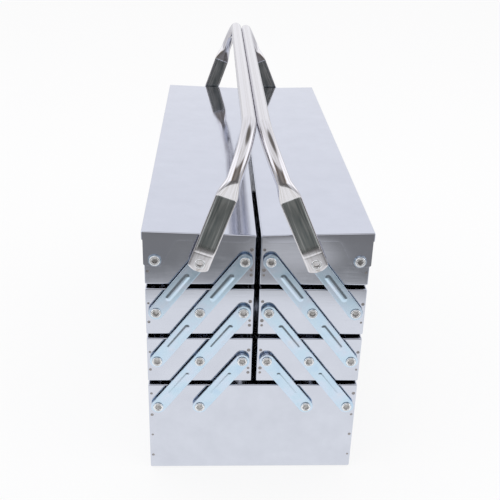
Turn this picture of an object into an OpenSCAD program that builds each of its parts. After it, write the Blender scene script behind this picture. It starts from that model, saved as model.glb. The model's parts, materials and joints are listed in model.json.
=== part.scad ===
// Cantilever tool box in folded stainless sheet: one deep bottom box, three tiers of
// trays on each side carried by parallel links, two lids and two tube handles.
// X is the width, Y the length, Z up. The origin is the middle of the bottom face.

/* [Bottom box and trays] */
// Length over the end walls of the box and of every tray
body_length = 500; // [380:10:620]
// Width over the side walls of the bottom box
body_width = 200; // [180:2:260]
// Height of the bottom box
base_height = 100; // [70:2:160]
// Height of a tray
tray_height = 47.5; // [44:0.5:60]
// Gap between a closed tray and the rim that it stands over
tier_gap = 4.4; // [3.6:0.1:8]
// Gap between the left and the right trays
centre_gap = 4.4; // [3.2:0.2:8]
// Thickness of the stainless sheet
sheet = 0.8; // [0.6:0.1:1.0]
// Outer radius of the bends along the bottom edges
bend_radius = 2.5; // [1.6:0.1:4]
// Depth of the folded rim on the inside of the walls
hem_depth = 6; // [4:0.5:8]
// Width of the side wall's flap that is welded behind the end wall
flap_width = 15; // [14:0.5:18]

/* [Pivots] */
// Distance of the outer rivets from the outer side wall
outer_inset = 9.5; // [8.5:0.1:11]
// Distance of the inner rivets from the middle of the box
inner_inset = 11.5; // [9:0.1:13]
// Depth of the rivets below the rim
rivet_drop = 22.5; // [20:0.5:24]
// Diameter of the rivet's shank
rivet_d = 5; // [4:0.1:6]
// Diameter of the rivet's rolled head
rivet_head_d = 9; // [7.6:0.1:9.6]
// Height of the rivet's head
rivet_head_h = 1.4; // [1:0.1:1.4]
// Diameter of the washers behind the links
washer_d = 11.5; // [10:0.1:13]
// Distance of a link's inner face from the end wall
link_standoff = 2.2; // [2.1:0.1:2.6]

/* [Links] */
// Width of a link, which is also the diameter of its round ends
link_width = 14; // [12:0.5:16]
// Thickness of a link
link_thickness = 2; // [1.6:0.1:2.4]
// Length of the pressed rib in each span of a link
rib_length = 33; // [20:1:36]
// Width of the rib's groove on the outer face
rib_width = 6; // [4:0.2:7]
// Depth of the rib's groove
rib_depth = 0.9; // [0.5:0.1:1]

/* [Lids] */
// Height of the lid's outer edge above the tray's rim
lid_rise = 5; // [4.6:0.1:6]
// Distance of the lid's side flange from the tray's outer wall
lid_side_gap = 1.1; // [0.8:0.1:2]
// Height of the lid's side flange
lid_side_flange = 8; // [6:0.5:10]
// Height of the strip along the lid's ends
lid_end_flange = 7; // [5:0.5:9]
// Distance of the lid's end strip from the end wall
lid_end_gap = 1; // [0.8:0.1:1.1]
// Thickness of the washer on the lid's lug
lid_washer_t = 0.6; // [0.4:0.1:0.6]
// Distance of the lid's free edge from the middle of the box
lid_centre_gap = 1.9; // [1.2:0.1:4]
// Radius of the lug round the hinge rivet
lug_radius = 7.5; // [6.5:0.1:8]
// Width of the lug where it leaves the end strip, measured inwards from the rivet
lug_reach = 19; // [12:1:24]

/* [Handles] */
// Height of the grip's middle line above the handle's rivet, along the handle
handle_height = 122; // [110:2:150]
// Diameter of the handle's tube
handle_tube_d = 13; // [11:0.5:13]
// Wall of the handle's tube
handle_tube_wall = 1.2; // [0.8:0.1:1.6]
// Radius of the handle's two bends, to the tube's middle line
handle_bend = 25; // [18:1:32]
// Width of the handle's flattened ends
handle_flat_w = 19; // [17:0.5:20]
// Thickness of the handle's flattened ends
handle_flat_t = 3.2; // [2.6:0.1:3.6]
// Length of the flattened end above the rivet
handle_flat_l = 63; // [52:1:66]
// Depth of the channel pressed into the flattened ends
channel_depth = 0.6; // [0.3:0.1:0.8]
// Distance of the left grip's middle line from the middle of the box
left_grip_x = 10; // [8:0.5:14]

/* [Dividers] */
// Height of the dividers in the trays
divider_height = 34; // [20:1:38]
// Width of the flanges at a divider's ends
divider_flange = 10; // [6:1:14]
// Number of cells that the dividers make in an upper tray
upper_cells = 3; // [2:1:4]

/* [Fits] */
// Play between two faces that slide over each other
play = 0.3; // [0.2:0.05:0.3]
// Radial play between a rivet's shank and its holes
bore_play = 0.05; // [0.02:0.01:0.1]

/* [Hidden] */
$fn = 48;
over = 1; // how far a cutter reaches past the face that it opens

left = 1;
right = 0;
front = 0;
rear = 1;

steel_mirror = "#D2D3DC";
steel_satin = "#9A9C9C";
zinc_blue = "#BFD4E2";
zinc_pale = "#DDE3E6";

tier_pitch = tray_height + tier_gap;
tray_width = (body_width - centre_gap) / 2;
tray_middle = (body_width + centre_gap) / 4;
lower_bottom = base_height + tier_gap;
middle_bottom = lower_bottom + tier_pitch;
upper_bottom = middle_bottom + tier_pitch;
upper_rim = upper_bottom + tray_height;

outer_x = body_width / 2 - outer_inset;
inner_x = inner_inset;
mid_x = (outer_x + inner_x) / 2;
rivet_pitch = outer_x - mid_x;
base_z = base_height - rivet_drop;
lower_z = base_z + tier_pitch;
middle_z = lower_z + tier_pitch;
upper_z = middle_z + tier_pitch;

bore_d = rivet_d + 2 * bore_play;
link_span = sqrt(rivet_pitch * rivet_pitch + tier_pitch * tier_pitch);
link_lean = atan(rivet_pitch / tier_pitch);
link_front_face = link_standoff + link_thickness;
rivet_foot_h = 1;
rivet_foot_d = 8;

// Lid, in the plane of the end walls
lid_side_x = body_width / 2 + lid_side_gap + sheet;
lid_top = upper_rim + lid_rise;
lid_inner_top = upper_rim + play + 2 * sheet;
lid_span = lid_side_x - lid_centre_gap;
lid_slope = atan((lid_top - lid_inner_top) / lid_span);
lid_plate_w = lid_span / cos(lid_slope);
lid_end_y = lid_end_gap + sheet;

// Handle: the tube is pressed flat towards its inner side, and the grips rest on each other
tube_r = handle_tube_d / 2;
flat_half = handle_flat_t / 2;
handle_seat = link_front_face + play;
flat_y = -body_length / 2 - handle_seat - flat_half;
tube_y = -body_length / 2 - handle_seat - tube_r;
tab_end = 8; // how far the flat end reaches below its rivet
tab_arch = 6; // how much the arched tip is narrower on each side
crease_at = 12; // height of the crease line above the rivet
channel_at = 19; // height at which the channel has its full depth
shoulder = 12; // length over which the flat end turns into the round tube
flat_round = 0.3; // exponent of the flat end's rounded edges, where 1 is a circle
flat_corner = 0.6; // exponent that gathers the ring's points at the edges
channel_edge = [0.6, 0.85]; // where the channel's wall starts and ends, as a share of the half width
shoulder_steps = 6;
bend_steps = 8;
ring_points = 24;
left_lean = asin((mid_x - left_grip_x) / handle_height);
left_grip_z = handle_height * cos(left_lean);
grip_from_right = sqrt(pow(mid_x + left_grip_x, 2) + pow(left_grip_z, 2));
right_lean = atan2(mid_x + left_grip_x, left_grip_z) - acos((pow(handle_height, 2)
    + pow(grip_from_right, 2) - pow(handle_tube_d + play, 2)) / (2 * handle_height * grip_from_right));

// Children are drawn with X along the width, Y up and Z out of the end wall
module at_end(end) {
    mirror([0, end, 0]) translate([0, -body_length / 2, 0]) rotate([90, 0, 0]) children();
}

module at_side(side) {
    mirror([side, 0, 0]) children();
}

// Sections of a folded wall whose outer face is at x = 0: the leaf, its hem and the bottom bend
module leaf_section(height) {
    translate([0, bend_radius]) square([sheet, height - bend_radius - sheet]);
}

module hem_section(height) {
    translate([0, height - hem_depth]) square([2 * sheet, hem_depth - sheet]);
    translate([sheet, height - sheet]) circle(r = sheet);
}

module bend_section() {
    translate([bend_radius, bend_radius]) intersection() {
        difference() {
            circle(r = bend_radius);
            circle(r = bend_radius - sheet);
        }
        translate([-bend_radius, -bend_radius]) square(bend_radius);
    }
    translate([0, bend_radius]) square(sheet);
    translate([bend_radius, 0]) square(sheet);
}

// Draws a section's prism of the given length along one wall of a pan
module along_side(side, width, length) {
    mirror([side, 0, 0]) translate([width / 2, length / 2, 0]) rotate([90, 0, 0])
        linear_extrude(length) mirror([1, 0]) children();
}

module along_end(end, length) {
    mirror([0, end, 0]) translate([-length / 2, -body_length / 2, 0]) rotate([90, 0, 90])
        linear_extrude(length) children();
}

// A pan folded from one blank, its side walls' flaps welded behind the end walls
module pan(width, height, holes, hole_z) {
    bend_l = body_length - 2 * bend_radius;
    bend_w = width - 2 * bend_radius;
    flap_root = sheet / 2; // how far a flap reaches into the end wall
    flap_y = -body_length / 2 + flap_root;
    difference() {
        union() {
            translate([-bend_w / 2, -bend_l / 2, 0]) cube([bend_w, bend_l, sheet]);
            for (side = [left, right]) {
                along_side(side, width, body_length - sheet) leaf_section(height);
                along_side(side, width, body_length - 2 * sheet) hem_section(height);
                along_side(side, width, bend_l) bend_section();
                for (end = [front, rear]) mirror([side, 0, 0]) mirror([0, end, 0])
                    translate([width / 2 - sheet - flap_width, flap_y, bend_radius])
                        cube([flap_width + sheet, 2 * sheet - flap_root, height - bend_radius - hem_depth + sheet]);
            }
            for (end = [front, rear]) {
                along_end(end, width) leaf_section(height);
                along_end(end, width) hem_section(height);
                along_end(end, bend_w) bend_section();
            }
        }
        for (end = [front, rear], x = holes) at_end(end) translate([x, hole_z, -2 * sheet - over])
            cylinder(d = bore_d, h = 2 * sheet + 2 * over);
    }
}

module tray(side, bottom) {
    tray_holes = [outer_x - tray_middle, mid_x - tray_middle, inner_x - tray_middle];
    color(steel_mirror) at_side(side) translate([tray_middle, 0, bottom])
        pan(tray_width, tray_height, tray_holes, tray_height - rivet_drop);
}

module base_pan() {
    base_holes = [-outer_x, -mid_x, mid_x, outer_x];
    color(steel_mirror) pan(body_width, base_height, base_holes, base_z);
}

// Tubular rivet with its rolled head on the outside and its foot on the inside
module rivet(head_seat, grip) {
    head_r = rivet_head_d / 2;
    mouth_r = rivet_d / 2 - sheet;
    lip = rivet_head_h / 2;
    translate([0, 0, -grip - rivet_foot_h]) cylinder(d = rivet_foot_d, h = rivet_foot_h);
    translate([0, 0, -grip]) cylinder(d = rivet_d, h = grip + head_seat);
    translate([0, 0, head_seat]) rotate_extrude() {
        difference() {
            union() {
                square([head_r - lip, rivet_head_h]);
                square([head_r, lip]);
                translate([head_r - lip, lip]) circle(r = lip);
            }
            translate([0, lip]) square([mouth_r, rivet_head_h]);
            translate([-head_r, -head_r]) square([head_r, 2 * head_r]);
        }
    }
}

module washer(seat, thickness) {
    translate([0, 0, seat]) difference() {
        cylinder(d = washer_d, h = thickness);
        translate([0, 0, -over]) cylinder(d = bore_d, h = thickness + 2 * over);
    }
}

// The outer and inner rivets grip a flap too, and the middle ones only the end wall
module link_rivets(side, places, z) {
    color(zinc_pale) for (end = [front, rear], x = places) at_side(side) at_end(end)
        translate([x, z, 0]) rivet(link_front_face + play, x == mid_x ? sheet : 2 * sheet);
}

module link_washers(side, places, z) {
    color(zinc_blue) for (end = [front, rear], x = places) at_side(side) at_end(end)
        translate([x, z, 0]) washer(0, link_standoff - play);
}

module base_rivets() {
    for (side = [left, right]) link_rivets(side, [mid_x, outer_x], base_z);
}

module base_washers() {
    for (side = [left, right]) link_washers(side, [mid_x, outer_x], base_z);
}

// Round groove along a link's span, made by a rod that dips into the face
module rib_rod(radius) {
    start = (link_span - rib_length) / 2 + rib_width / 2;
    run = rib_length - rib_width;
    translate([0, start, 0]) rotate([-90, 0, 0]) cylinder(r = radius, h = run);
    translate([0, start, 0]) sphere(r = radius);
    translate([0, start + run, 0]) sphere(r = radius);
}

// A link lies along Y from its lower pivot, its inner face on z = 0
module link_bar(spans) {
    groove_r = (rib_width * rib_width / 4 + rib_depth * rib_depth) / (2 * rib_depth);
    ridge_half = rib_width / 2 + rib_depth / 2;
    ridge_r = (ridge_half * ridge_half + rib_depth * rib_depth) / (2 * rib_depth);
    reach = spans * link_span;
    difference() {
        union() {
            linear_extrude(link_thickness) {
                translate([-link_width / 2, 0]) square([link_width, reach]);
                circle(d = link_width);
                translate([0, reach]) circle(d = link_width);
            }
            for (span = [0:spans - 1]) intersection() {
                translate([0, span * link_span, ridge_r - rib_depth]) rib_rod(ridge_r);
                translate([-link_width / 2, span * link_span, -rib_depth])
                    cube([link_width, link_span, rib_depth + link_thickness / 2]);
            }
        }
        for (span = [0:spans - 1])
            translate([0, span * link_span, link_thickness - rib_depth + groove_r]) rib_rod(groove_r);
        for (pivot = [0:spans]) translate([0, pivot * link_span, -over])
            cylinder(d = bore_d, h = link_thickness + 2 * over);
    }
}

module link(side, end, foot_x, foot_z, spans) {
    color(zinc_blue) at_side(side) at_end(end) translate([foot_x, foot_z, link_standoff])
        rotate([0, 0, link_lean]) link_bar(spans);
}

// Outline of the end strip and its lug in the plane of the end wall
module lid_end_outline() {
    corner_r = lid_end_flange - sheet - bend_radius / 2;
    strip_l = lid_plate_w - corner_r;
    translate([lid_side_x, lid_top]) rotate(180 + lid_slope) intersection() {
        square([strip_l, lid_end_flange]);
        union() {
            square([strip_l - corner_r, lid_end_flange]);
            square([strip_l, lid_end_flange - corner_r]);
            translate([strip_l - corner_r, lid_end_flange - corner_r]) circle(r = corner_r);
        }
    }
    translate([outer_x, upper_z]) circle(r = lug_radius);
    polygon([
        [lid_side_x, lid_top - sheet],
        [lid_side_x, upper_z - lug_radius / 2],
        [outer_x, upper_z - lug_radius],
        [outer_x - lug_radius, upper_z],
        [outer_x - lug_reach, lid_top - lid_end_flange],
        [outer_x - lug_reach - lug_radius, lid_top - lid_end_flange / 2]
    ]);
}

// Lid: sloping plate with a hem, side flange, end strips that widen into the hinge lugs
module lid(side) {
    full = body_length + 2 * lid_end_y;
    color(steel_mirror) at_side(side) difference() {
        union() {
            translate([lid_side_x, full / 2, lid_top]) rotate([90, 0, 0]) linear_extrude(full)
                rotate(180 + lid_slope) {
                    translate([sheet, 0]) square([lid_plate_w - 2 * sheet, sheet]);
                    translate([lid_plate_w - hem_depth, 0]) square([hem_depth - sheet, 2 * sheet]);
                    translate([lid_plate_w - sheet, sheet]) circle(r = sheet);
                }
            translate([lid_side_x - sheet, -full / 2, lid_top - lid_side_flange])
                cube([sheet, full, lid_side_flange - sheet]);
            translate([lid_side_x - sheet, full / 2, lid_top - sheet]) rotate([90, 0, 0])
                cylinder(r = sheet, h = full);
            for (end = [front, rear]) at_end(end) translate([0, 0, lid_end_gap])
                linear_extrude(sheet) lid_end_outline();
        }
        for (end = [front, rear]) at_end(end) translate([outer_x, upper_z, 0])
            cylinder(d = bore_d, h = lid_end_y + over);
    }
}

module lid_rivets(side) {
    color(zinc_pale) for (end = [front, rear]) at_side(side) at_end(end) translate([outer_x, upper_z, 0])
        rivet(lid_end_y + play + lid_washer_t, 2 * sheet);
}

module lid_washers(side) {
    color(zinc_blue) for (end = [front, rear]) at_side(side) at_end(end) translate([outer_x, upper_z, 0])
        washer(lid_end_y + play, lid_washer_t);
}

module handle_rivets(side) {
    color(zinc_pale) for (end = [front, rear]) at_side(side) at_end(end) translate([mid_x, upper_z, 0])
        rivet(handle_seat + handle_flat_t + play, sheet);
}

function mix(a, b, t) = a + (b - a) * t;
function ease(t) = t * t * (3 - 2 * t);
function ramp(a, b, v) = ease(min(1, max(0, (v - a) / (b - a))));

// A station of the tube is [y, u, turn, half width, half thickness, channel depth, roundness],
// with u the height above the rivet. The flat end is arched from half way below the rivet.
function flat_hw(u) = handle_flat_w / 2 - tab_arch * pow(max(0, -2 * u / tab_end - 1), 2);
function arm_station(u) =
    let (t = ramp(handle_flat_l, handle_flat_l + shoulder, u),
         press = ramp(crease_at, channel_at, u) * (1 - t))
    [mix(flat_y, tube_y, t), u, 0, mix(flat_hw(u), tube_r, t), mix(flat_half, tube_r, t),
     channel_depth * press, t];
function bend_station(turn) =
    [tube_y + handle_bend * (1 - cos(turn)), handle_height - handle_bend * (1 - sin(turn)), turn,
     tube_r, tube_r, 0, 1];
arch_steps = 3;
arm_heights = [
    for (i = [0:arch_steps]) -tab_end / 2 * (1 + cos(90 * i / arch_steps)),
    crease_at, (crease_at + channel_at) / 2, channel_at, handle_flat_l,
    for (i = [1:shoulder_steps]) handle_flat_l + shoulder * i / shoulder_steps
];
half_stations = [
    for (u = arm_heights) arm_station(u),
    for (i = [0:bend_steps]) bend_station(90 * i / bend_steps)
];
half_count = len(half_stations);
stations = [
    for (s = half_stations) s,
    for (i = [half_count - 1:-1:0]) let (s = half_stations[i])
        [-s[0], s[1], 180 - s[2], s[3], s[4], s[5], s[6]]
];

// Point k of a station's ring: a rounded bar that the channel is pressed into
function ring_point(s, k) =
    let (c = cos(360 * k / ring_points), n = sin(360 * k / ring_points),
         across = sign(c) * pow(abs(c), mix(flat_corner, 1, s[6])),
         bar = sign(n) * pow(abs(n), mix(flat_round, 1, s[6])),
         sunk = sign(n) * s[5] * (1 - ramp(channel_edge[0], channel_edge[1], abs(across))),
         out = s[4] * bar - sunk)
    [s[3] * across, s[0] - out * cos(s[2]), s[1] + out * sin(s[2])];

module handle_body() {
    rings = len(stations);
    corners = [for (s = stations) for (k = [0:ring_points - 1]) ring_point(s, k)];
    skin = [
        for (r = [0:rings - 2]) for (k = [0:ring_points - 1])
            let (a = r * ring_points + k, b = r * ring_points + (k + 1) % ring_points)
            [a, b, b + ring_points, a + ring_points]
    ];
    first_cap = [for (k = [ring_points - 1:-1:0]) k];
    last_cap = [for (k = [0:ring_points - 1]) (rings - 1) * ring_points + k];
    grip = 2 * (-tube_y - handle_bend);
    difference() {
        polyhedron(points = corners, faces = concat(skin, [first_cap, last_cap]), convexity = 6);
        translate([0, grip / 2, handle_height]) rotate([90, 0, 0])
            cylinder(r = tube_r - handle_tube_wall, h = grip);
        for (end = [front, rear]) mirror([0, end, 0]) translate([0, flat_y, 0]) rotate([90, 0, 0])
            translate([0, 0, -handle_flat_t]) cylinder(d = bore_d, h = 2 * handle_flat_t);
    }
}

module handle(side, lean) {
    color(steel_satin) at_side(side) translate([mid_x, 0, upper_z]) rotate([0, -lean, 0]) handle_body();
}

// Divider: a plate across the tray with a flange at each end, welded to the side walls.
// Its lower corners are cut away over the tray's bottom bends.
module divider(side, bottom, y) {
    half = tray_width / 2 - sheet - play;
    color(steel_mirror) at_side(side) translate([tray_middle, y, bottom + sheet + play]) {
        translate([0, sheet / 2, 0]) rotate([90, 0, 0]) linear_extrude(sheet) polygon([
            [-half + bend_radius, 0], [half - bend_radius, 0], [half, bend_radius],
            [half, divider_height], [-half, divider_height], [-half, bend_radius]
        ]);
        for (m = [0, 1]) mirror([m, 0, 0]) translate([half - sheet, -sheet / 2, bend_radius])
            cube([sheet, divider_flange, divider_height - bend_radius]);
    }
}

module upper_dividers(side) {
    cell = body_length / upper_cells;
    for (i = [1:upper_cells - 1]) divider(side, upper_bottom, -body_length / 2 + i * cell);
}

base_pan();
base_rivets();
base_washers();
tray(left, lower_bottom);  // left_lower_pan
link_rivets(left, [inner_x, mid_x, outer_x], lower_z);  // left_lower_rivets
link_washers(left, [inner_x, mid_x, outer_x], lower_z);  // left_lower_washers
tray(left, middle_bottom);  // left_middle_pan
link_rivets(left, [inner_x, mid_x, outer_x], middle_z);  // left_middle_rivets
link_washers(left, [inner_x, mid_x, outer_x], middle_z);  // left_middle_washers
divider(left, middle_bottom, 0);  // left_middle_divider
tray(left, upper_bottom);  // left_upper_pan
link_rivets(left, [inner_x], upper_z);  // left_upper_rivets
link_washers(left, [inner_x, mid_x], upper_z);  // left_upper_washers
upper_dividers(left);  // left_upper_dividers
lid(left);  // left_lid
lid_rivets(left);  // left_lid_rivets
lid_washers(left);  // left_lid_washers
handle(left, left_lean);  // left_handle
handle_rivets(left);  // left_handle_rivets
link(left, front, mid_x, base_z, 1);  // left_base_link_front
link(left, rear, mid_x, base_z, 1);  // left_base_link_rear
link(left, front, outer_x, base_z, 2);  // left_lower_link_front
link(left, rear, outer_x, base_z, 2);  // left_lower_link_rear
link(left, front, outer_x, lower_z, 2);  // left_middle_link_front
link(left, rear, outer_x, lower_z, 2);  // left_middle_link_rear
link(left, front, outer_x, middle_z, 1);  // left_upper_link_front
link(left, rear, outer_x, middle_z, 1);  // left_upper_link_rear
tray(right, lower_bottom);  // right_lower_pan
link_rivets(right, [inner_x, mid_x, outer_x], lower_z);  // right_lower_rivets
link_washers(right, [inner_x, mid_x, outer_x], lower_z);  // right_lower_washers
tray(right, middle_bottom);  // right_middle_pan
link_rivets(right, [inner_x, mid_x, outer_x], middle_z);  // right_middle_rivets
link_washers(right, [inner_x, mid_x, outer_x], middle_z);  // right_middle_washers
divider(right, middle_bottom, 0);  // right_middle_divider
tray(right, upper_bottom);  // right_upper_pan
link_rivets(right, [inner_x], upper_z);  // right_upper_rivets
link_washers(right, [inner_x, mid_x], upper_z);  // right_upper_washers
upper_dividers(right);  // right_upper_dividers
lid(right);  // right_lid
lid_rivets(right);  // right_lid_rivets
lid_washers(right);  // right_lid_washers
handle(right, right_lean);  // right_handle
handle_rivets(right);  // right_handle_rivets
link(right, front, mid_x, base_z, 1);  // right_base_link_front
link(right, rear, mid_x, base_z, 1);  // right_base_link_rear
link(right, front, outer_x, base_z, 2);  // right_lower_link_front
link(right, rear, outer_x, base_z, 2);  // right_lower_link_rear
link(right, front, outer_x, lower_z, 2);  // right_middle_link_front
link(right, rear, outer_x, lower_z, 2);  // right_middle_link_rear
link(right, front, outer_x, middle_z, 1);  // right_upper_link_front
link(right, rear, outer_x, middle_z, 1);  // right_upper_link_rear
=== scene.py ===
# %% [markdown]
# # A cantilever tool box of folded stainless sheet
# The real object is a deep bottom box with three tiers of trays on each side. Zinc-plated
# links carry the trays on rivets, two lids hinge on the top trays, and two tube handles with
# flattened ends fold outwards. This lesson dresses the imported CAD model with finely rounded
# surfaces and with metal finishes, and lights them in a plain white studio.

# %% Load the imported model and measure its parts' boxes
import json
import bmesh
import bpy
import numpy as np
from mathutils import Matrix, Vector

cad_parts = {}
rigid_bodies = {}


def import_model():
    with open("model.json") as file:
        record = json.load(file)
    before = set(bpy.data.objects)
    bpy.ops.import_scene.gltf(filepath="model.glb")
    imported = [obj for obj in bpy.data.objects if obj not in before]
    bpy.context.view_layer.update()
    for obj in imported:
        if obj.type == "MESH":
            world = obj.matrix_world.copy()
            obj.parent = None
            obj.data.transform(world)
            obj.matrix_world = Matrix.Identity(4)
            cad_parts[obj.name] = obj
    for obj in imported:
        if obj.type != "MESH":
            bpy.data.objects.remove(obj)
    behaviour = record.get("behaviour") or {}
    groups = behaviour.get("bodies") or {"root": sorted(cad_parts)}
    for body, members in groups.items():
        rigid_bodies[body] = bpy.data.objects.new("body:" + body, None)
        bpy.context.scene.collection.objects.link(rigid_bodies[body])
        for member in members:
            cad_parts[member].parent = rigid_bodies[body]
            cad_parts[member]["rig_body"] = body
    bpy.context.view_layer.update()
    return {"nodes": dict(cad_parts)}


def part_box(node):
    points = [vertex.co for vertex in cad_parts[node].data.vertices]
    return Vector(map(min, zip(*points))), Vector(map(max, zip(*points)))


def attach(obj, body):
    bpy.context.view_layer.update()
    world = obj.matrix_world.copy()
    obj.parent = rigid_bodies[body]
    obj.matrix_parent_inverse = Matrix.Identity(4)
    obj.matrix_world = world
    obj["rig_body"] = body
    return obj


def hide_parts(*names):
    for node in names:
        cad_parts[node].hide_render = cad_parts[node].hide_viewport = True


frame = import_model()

nodes = frame["nodes"]

# %% [markdown]
# ## The camera
# A photograph's viewpoint could be found by trial. Here it was worked out from the corners and
# rivets that the picture shows, because they lie in known planes of the box. The camera looks
# down by about 26 degrees at the near end, with a lens a little longer than a standard one.

# %% Place the camera
eye = Vector((-0.04122, -0.87473, 0.54614))
ahead = Vector((0.04877587, 0.89855621, -0.43613949))
rightwards = Vector((0.99877709, -0.04034767, 0.02857243))
upwards = Vector((-0.00807672, 0.43699978, 0.89942535))
camera_data = bpy.data.cameras.new("camera")
camera_data.sensor_width = 36.0
camera_data.lens = 57.194
camera = bpy.data.objects.new("camera", camera_data)
facing = Matrix((rightwards, upwards, -ahead)).transposed().to_4x4()
camera.matrix_world = Matrix.Translation(eye) @ facing
bpy.context.scene.collection.objects.link(camera)
bpy.context.scene.camera = camera
print("camera looks along", [round(v, 3) for v in ahead])

# %% [markdown]
# ## Turning arrays into pieces
# Every new surface below is worked out as whole numpy arrays in millimetres. Points on a grid
# need quads between neighbours, a swept profile closes on itself, and its two ends are closed
# by caps. Large flat panels must stay flat in their reflections beside a small bend, so each
# vertex takes the mean of its faces' normals weighted by their area.

# %% Helpers that build a mesh
MM = 0.001


def grid_quads(rows, cols, wrap_rows=False, wrap_cols=True):
    """Quads between neighbours of a grid of points that is numbered row by row."""
    row = np.arange(rows if wrap_rows else rows - 1)[:, None]
    col = np.arange(cols if wrap_cols else cols - 1)[None, :]
    next_row, next_col = (row + 1) % rows, (col + 1) % cols
    quads = [row * cols + col, row * cols + next_col, next_row * cols + next_col, next_row * cols + col]
    return np.stack(quads, -1).reshape(-1, 4)


def swept(rings, caps=True):
    """A skin over an array of closed rings (ring, point, xyz), with a face over the first and last."""
    rows, cols = rings.shape[:2]
    faces = grid_quads(rows, cols).tolist()
    if caps:
        faces += [list(range(cols))[::-1], list(range((rows - 1) * cols, rows * cols))]
    return rings.reshape(-1, 3), faces


def set_area_normals(mesh):
    """Each vertex normal is the sum of the area vectors of its faces: half the cross products
    of a face's consecutive corners, added up round the face."""
    points = np.empty(len(mesh.vertices) * 3)
    mesh.vertices.foreach_get("co", points)
    points = points.reshape(-1, 3)
    corner = np.empty(len(mesh.loops), int)
    mesh.loops.foreach_get("vertex_index", corner)
    first, count = np.empty(len(mesh.polygons), int), np.empty(len(mesh.polygons), int)
    mesh.polygons.foreach_get("loop_start", first)
    mesh.polygons.foreach_get("loop_total", count)
    face = np.repeat(np.arange(len(count)), count)
    following = np.arange(len(corner)) + 1
    last = first + count - 1
    following[last] = first
    anchor = points[corner[first]][face]
    area = np.zeros((len(count), 3))
    np.add.at(area, face, np.cross(points[corner] - anchor, points[corner[following]] - anchor))
    normal = np.zeros_like(points)
    np.add.at(normal, corner, area[face])
    normal /= np.maximum(np.linalg.norm(normal, axis=1, keepdims=True), 1e-12)
    mesh.normals_split_custom_set_from_vertices(normal.tolist())


def make_piece(name, shells, material, body, replaces=()):
    """Joins shells (points in mm, faces) in one mesh object, turns the faces outwards, lets it
    ride on its body and hides the CAD nodes it stands for."""
    points, faces, start = [], [], 0
    for shell_points, shell_faces in shells:
        points.append(shell_points)
        faces += [[start + i for i in face] for face in shell_faces]
        start += len(shell_points)
    mesh = bpy.data.meshes.new(name)
    mesh.from_pydata((np.concatenate(points) * MM).tolist(), [], faces)
    work = bmesh.new()
    work.from_mesh(mesh)
    bmesh.ops.remove_doubles(work, verts=work.verts, dist=2e-6)
    bmesh.ops.recalc_face_normals(work, faces=work.faces)
    work.to_mesh(mesh)
    work.free()
    mesh.shade_smooth()
    set_area_normals(mesh)
    mesh.materials.append(material)
    piece = bpy.data.objects.new(name, mesh)
    bpy.context.scene.collection.objects.link(piece)
    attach(piece, body)
    if replaces:
        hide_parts(*replaces)
    return piece


# %% [markdown]
# ## Rounded outlines
# Sheet parts are mostly straight sides with rounded corners. A corner's arc touches both sides,
# so its end points lie back from the corner by radius / tan(half the corner's angle), and the
# points between are turned evenly about the arc's centre.

# %% Outline helpers
def unit(vectors):
    """Vectors of length one."""
    return vectors / np.linalg.norm(vectors, axis=-1, keepdims=True)


def rounded(corners, radii, steps=6, closed=True):
    """The outline through the corners, each replaced by an arc of its radius in `steps` points.
    An open line keeps its first and last point."""
    here = np.asarray(corners, float)
    radius = np.broadcast_to(np.asarray(radii, float), len(here))
    inner = slice(None) if closed else slice(1, -1)
    back = unit(np.roll(here, 1, 0) - here)[inner]
    forth = unit(np.roll(here, -1, 0) - here)[inner]
    radius = radius[inner]
    half = np.arccos(np.clip((back * forth).sum(1), -1, 1)) / 2
    reach = (radius / np.tan(half))[:, None]
    centre = here[inner] + unit(back + forth) * (radius / np.sin(half))[:, None]
    start = here[inner] + back * reach - centre
    end = here[inner] + forth * reach - centre
    sweep = (np.pi - 2 * half)[:, None]
    t = np.linspace(0, 1, steps)[None, :]
    near, far = np.sin((1 - t) * sweep) / np.sin(sweep), np.sin(t * sweep) / np.sin(sweep)
    arcs = centre[:, None] + near[..., None] * start[:, None] + far[..., None] * end[:, None]
    line = arcs.reshape(-1, 2)
    return line if closed else np.concatenate([here[:1], line, here[-1:]])


def arc(centre, radius, start, stop, steps):
    """Points on a circle from one angle in degrees to another."""
    turn = np.radians(np.linspace(start, stop, steps))
    return np.column_stack([centre[0] + radius * np.cos(turn), centre[1] + radius * np.sin(turn)])


def inset(outline, amount):
    """The closed outline moved inwards, each point along the mean of its two sides' normals."""
    ahead_side = unit(np.roll(outline, -1, 0) - outline)
    back_side = np.roll(ahead_side, 1, 0)
    into = np.column_stack([-ahead_side[:, 1] - back_side[:, 1], ahead_side[:, 0] + back_side[:, 0]])
    return outline + amount * into / (1 + (ahead_side * back_side).sum(1, keepdims=True))


def plate(outline, low, high, edge):
    """A flat part: the outline from height low to high, its two rims rounded by radius edge."""
    turn = np.radians(np.linspace(0, 90, 4))
    inwards = edge * (1 - np.sin(turn))
    height = edge * (1 - np.cos(turn))
    layers = [(i, low + h) for i, h in zip(inwards, height)]
    layers += [(i, high - h) for i, h in zip(inwards[::-1], height[::-1])]
    rings = np.stack([np.column_stack([inset(outline, i), np.full(len(outline), z)]) for i, z in layers])
    return swept(rings)


def lathe(profile, around=40):
    """A profile of (radius, height) turned about the Z axis; it starts and ends on the axis or
    closes on itself."""
    turn = np.linspace(0, 2 * np.pi, around, endpoint=False)
    profile = np.asarray(profile, float)
    rings = np.stack([profile[:, :1] * np.cos(turn), profile[:, :1] * np.sin(turn),
                      np.repeat(profile[:, 1:], around, 1)], -1)
    return rings


print("helpers ready")

# %% [markdown]
# ## Sizes taken over from the CAD model
# The boxes of the nodes give most sizes. The pivots sit in three columns on each side: outer,
# middle and inner, and a link spans from one column to the next.

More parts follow.
